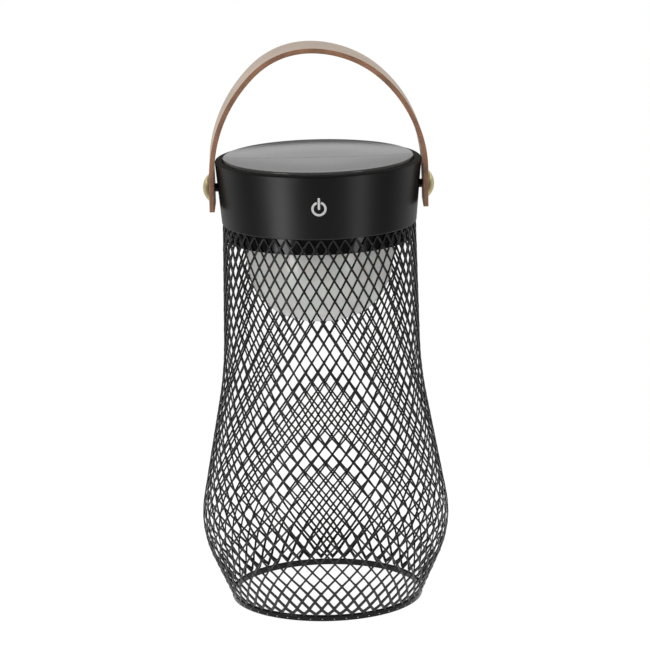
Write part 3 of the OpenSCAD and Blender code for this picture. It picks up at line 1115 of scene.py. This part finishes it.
@dataclass
class LeatherStrap:
    """The strap, bent over the head, a little skewed as worn leather is."""

    pivot_z: float = 219.0
    half_span: float = 56.0
    rise: float = 72.9
    straight: float = 8.0
    crown_tighter: float = 7.0
    tail: float = 10.0
    width: float = 28.0
    thickness: float = 2.6
    edge: float = 0.4
    edge_steps: int = 3
    face_points: int = 7
    lean: float = -1.2
    crown_shift: float = -2.8
    twist: float = 0.03
    skew: float = 0.006
    leg_points: int = 13
    shoulder_points: int = 25
    crown_points: int = 34

    def centreline(self) -> np.ndarray:
        """Middle of the leather from the left tail to the right one.

        Each side has a straight leg, a wide arc for the shoulder and a tighter one for the crown.

        Returns:
            Points of x and height above the pivots.
        """
        crown_r = self.half_span - self.crown_tighter
        crown_z = self.rise - crown_r
        off = np.array([self.half_span, self.straight - crown_z])
        leg_r = (off @ off - crown_r**2) / 2 / self.crown_tighter
        leg_c = np.array([self.half_span - leg_r, self.straight])
        turn = math.atan2(crown_z - leg_c[1], -leg_c[0])
        deep = self.thickness / 2
        heights = np.linspace(-self.tail, self.straight, self.leg_points + 1)[:-1]
        bends = np.linspace(0, turn, self.shoulder_points + 1)[:-1]
        tops = np.linspace(turn, math.pi / 2, self.crown_points)
        right = np.array(
            [[self.half_span - deep, z] for z in heights]
            + [leg_c + (leg_r - deep) * heading(a) for a in bends]
            + [np.array([0, crown_z]) + (crown_r - deep) * heading(a) for a in tops]
        )
        return np.concatenate([right[:-1] * [-1, 1], right[::-1]])

    def section(self) -> tuple[np.ndarray, list[bool]]:
        """Cross-section of the strap with burnished corners.

        Returns:
            Offsets along the width and the thickness, and which sides are cut edges.
        """
        w, t = self.width / 2, self.thickness / 2
        corners = [(w, 0), (w, t), (-w, t), (-w, -t), (w, -t), (w, 0)]
        path = list(round_path(corners, [self.edge] * 4, self.edge_steps)[:-1])
        one, three = 2 + self.edge_steps, 4 + 3 * self.edge_steps
        across = np.linspace(-1, 1, self.face_points + 2)[1:-1] * (w - self.edge * 2)
        top, foot = [(x, t) for x in across[::-1]], [(x, -t) for x in across]
        ring = np.array(path[:one] + top + path[one:three] + foot + path[three:])
        middles = (ring + np.roll(ring, -1, 0))[:, 0] / 2
        return ring, [bool(abs(x) > w - self.edge * 0.75) for x in middles]

    def build(self) -> Object:
        """Sweep the section along the strap.

        Returns:
            The piece.
        """
        line = self.centreline()
        _, outward = directions(line)
        section, cut = self.section()
        points, faces, picks = [], [], []
        for (x, z), (nx, nz) in zip(line, outward):
            up = max(z, 0) / self.rise
            aside = self.lean * up**2 + self.crown_shift * up**8
            turned = min(1.0, 4 * up)
            for wide, thick in section:
                across = x + nx * thick + aside - self.twist * wide * turned
                height = self.pivot_z + z + nz * thick + self.skew * x
                points.append([across, wide, height])
        rings = [ring_of(k, len(section)) for k in range(len(line))]
        for here, there in zip(rings, rings[1:]):
            bridge(faces, here, there)
            picks += [int(edge) for edge in cut]
        faces += [list(rings[0]), list(reversed(rings[-1]))]
        picks += [1, 1]
        finishes = [BridleLeather(), CutLeatherEdge()]
        strap = add_piece(
            "leather_strap", points, faces, finishes, Body.HANDLE, picks
        )
        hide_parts("strap_handle")
        return strap


# ---- carried-over solids


@dataclass
class CarriedSolids:
    """The CAD solids that stay as they are and get their real materials."""

    nodes: dict

    def finishes(self) -> dict[Finish, list[str]]:
        """The solids that show, by their finish."""
        return {
            BlackEnamel(): ["cage_collar"],
            MouldedAbs(): ["head_housing", "base_plate", "battery_cradle", "diffuser_ring"],
            SmokedAcrylic(): ["solar_lens"],
            ClosedCellFoam(): ["lens_seal"],
            SolarCell(): ["solar_panel_front", "solar_panel_rear"],
            CopperFoil(): ["touch_pad"],
            FibreglassBoard(): ["circuit_board"],
            MouldedIc(): ["board_components"],
            ShrinkSleeve(): ["battery_cell"],
            WhiteSolderMask(): ["light_board"],
            PhosphorDiode(): ["light_diodes"],
            FrostedPolycarbonate(): ["diffuser_bowl"],
            SpunBrass(): ["rivet_left", "rivet_right"],
            BlackNylon(): ["bush_left", "bush_right"],
            ZincSteel(): [
                "base_screws", "board_screws", "battery_contacts", "post_nut_left",
                "post_nut_right",
            ],
        }

    def dress(self) -> None:
        """Give each solid its material."""
        for finish, names in self.finishes().items():
            for name in names:
                materials = self.nodes[name].data.materials
                materials.clear()
                materials.append(finish.material())
                LOG.info("%s: %s", name, finish.name)


# ---- studio


@dataclass(frozen=True)
class Softbox:
    """A tall softbox that faces the lamp.

    Its azimuth is in degrees from -Y towards +X, its sizes are in metres and its power in watts.
    """

    part: Studio
    azimuth: float
    width: float
    watts: float
    height: float = 1.7
    distance: float = 1.5
    middle_z: float = 0.05

    def build(self) -> None:
        """Hang the softbox."""
        light = bpy.data.lights.new(self.part.value, "AREA")
        light.shape = "RECTANGLE"
        light.size, light.size_y = self.width, self.height
        light.energy = self.watts
        made = bpy.data.objects.new(self.part.value, light)
        a = math.radians(self.azimuth)
        made.location = (self.distance * math.sin(a), -self.distance * math.cos(a), self.middle_z)
        aim = Vector((-made.location.x, -made.location.y, 0))
        made.rotation_euler = aim.to_track_quat("-Z", "Y").to_euler()
        bpy.context.scene.collection.objects.link(made)


@dataclass
class ProductStudio:
    """A round white table, a white wall behind it, two tall softboxes and a dim room.

    The wall shows only in what mirrors it: its levels are pairs of the height of a ray, from 0
    to 1, and a brightness.
    """

    table_radius: float = 0.3
    table_sides: int = 96
    paper_white: float = 0.85
    glow: float = 0.9
    glow_strength: float = 1.07
    ambient: float = 0.92
    room_front: float = 0.05
    wall_from: float = -0.12
    wall_full: float = 0.65
    wall_levels: tuple = (
        (0.1, 0.5), (0.16, 0.62), (0.2, 1.0), (0.235, 1.0), (0.275, 0.28), (0.5, 0.25)
    )
    softboxes: tuple[Softbox, ...] = (
        Softbox(Studio.LEFT_SOFTBOX, -45, 0.5, 9.5),
        Softbox(Studio.RIGHT_SOFTBOX, 47, 0.35, 4),
    )

    def paper(self) -> Material:
        """White paper that stays white to the camera and still takes a faint shadow.

        Returns:
            The material.
        """
        made = bpy.data.materials.new("white_paper")
        made.use_nodes = True
        tree = made.node_tree
        tree.nodes.clear()
        seen = self.seen(add(tree, "LightPath"), camera=True)
        share = add(tree, "Math", {0: seen, 1: self.glow}, operation="MULTIPLY").outputs[0]
        diffuse = add(tree, "BsdfDiffuse", {"Color": grey(self.paper_white)}).outputs[0]
        values = {"Color": grey(1.0), "Strength": self.glow_strength}
        light = add(tree, "Emission", values).outputs[0]
        mix = add(tree, "MixShader", {0: share, 1: diffuse, 2: light})
        add(tree, "OutputMaterial", {"Surface": mix.outputs[0]})
        return made

    def seen(self, rays: Node, camera: bool) -> NodeSocket:
        """Tell rays that see the background from rays that light the object.

        Args:
            rays: A Light Path node.
            camera: Whether the camera's own rays count too.

        Returns:
            A socket that is 1 for mirrored and refracted rays, and for camera rays if asked.
        """
        found = rays.outputs["Is Glossy Ray"]
        for kind in ["Is Transmission Ray"] + ["Is Camera Ray"] * camera:
            both = {0: found, 1: rays.outputs[kind]}
            found = add(rays.id_data, "Math", both, operation="MAXIMUM").outputs[0]
        return found

    def table(self) -> None:
        """The round table of white paper that the lamp stands on."""
        mesh = bpy.data.meshes.new(Studio.TABLE.value)
        turns = [k * 2 * math.pi / self.table_sides for k in range(self.table_sides)]
        edge = [(*(self.table_radius * heading(a)), 0) for a in turns]
        mesh.from_pydata(edge, [], [list(range(len(edge)))])
        mesh.materials.append(self.paper())
        made = bpy.data.objects.new(Studio.TABLE.value, mesh)
        bpy.context.scene.collection.objects.link(made)

    def world(self) -> None:
        """An even room light; mirrored rays see a white wall behind and a dim room in front."""
        world = bpy.data.worlds.new("room")
        bpy.context.scene.world = world
        world.use_nodes = True
        tree = world.node_tree
        tree.nodes.clear()
        rays = add(tree, "LightPath")
        way = add(tree, "SeparateXYZ", {"Vector": add(tree, "TexCoord").outputs["Generated"]})
        span = {"From Min": self.wall_from, "From Max": self.wall_full, "To Min": self.room_front}
        values = {"Value": way.outputs["Y"], **span}
        wall = add(tree, "MapRange", values, interpolation_type="SMOOTHSTEP").outputs[0]
        levels = [(z, grey(level)) for z, level in self.wall_levels]
        above = add(tree, "ValToRGB", {"Fac": way.outputs["Z"]}, levels).outputs[0]
        mirrored = add(tree, "Math", {0: wall, 1: above}, operation="MULTIPLY").outputs[0]
        seen = self.seen(rays, camera=False)
        room = add(tree, "Mix", {"Factor": seen, 2: self.ambient, 3: mirrored}).outputs[0]
        strength = add(tree, "Mix", {"Factor": rays.outputs["Is Camera Ray"], 2: room, 3: 1.0})
        values = {"Color": grey(1.0), "Strength": strength.outputs[0]}
        add(tree, "OutputWorld", {"Surface": add(tree, "Background", values).outputs[0]})

    def build(self) -> None:
        """Set up the stage."""
        self.table()
        for softbox in self.softboxes:
            softbox.build()
        self.world()
        LOG.info("studio: table, %d softboxes and the room", len(self.softboxes))


@dataclass
class ProductCamera:
    """The photograph's long lens, a little above the lamp and slightly rolled.

    Its aim and distance are in millimetres, and its reach is in metres.
    """

    aim: tuple = (1.74, 0.0, 145.03)
    distance: float = 1709.2
    down_deg: float = 13.1
    roll_deg: float = 1.25
    focal_px: float = 3288.8
    frame_px: float = 650.0
    sensor: float = 36.0
    reach: float = 50.0

    def build(self) -> None:
        """Place the camera."""
        view = bpy.data.cameras.new("product_camera")
        view.sensor_width = self.sensor
        view.lens = self.focal_px / self.frame_px * self.sensor
        view.clip_end = self.reach
        camera = bpy.data.objects.new("product_camera", view)
        down = math.radians(self.down_deg)
        back = Vector((0, -math.cos(down), math.sin(down)))
        camera.location = (Vector(self.aim) + back * self.distance) * MM
        turn = Euler((math.pi / 2 - down, 0, 0)).to_matrix()
        roll = Euler((0, 0, -math.radians(self.roll_deg))).to_matrix()
        camera.rotation_euler = (turn @ roll).to_euler()
        bpy.context.scene.collection.objects.link(camera)
        bpy.context.scene.camera = camera
        LOG.info("camera: %.1f mm lens", view.lens)


def corners(box: tuple) -> list[list[float]]:
    """A box as plain lists."""
    return [[float(v) for v in corner] for corner in box]


def main() -> None:
    """Load the frame, build and dress the lamp, and set up the studio."""
    logging.basicConfig(level=logging.INFO, format="%(message)s")
    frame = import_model()
    bpy.context.scene.view_settings.view_transform = "Standard"
    ExpandedCage().build()
    BottomRim().build()
    PowerSymbol().build()
    LeatherStrap().build()
    CarriedSolids(frame["nodes"]).dress()
    ProductStudio().build()
    ProductCamera().build()


if __name__ == "__main__":
    main()
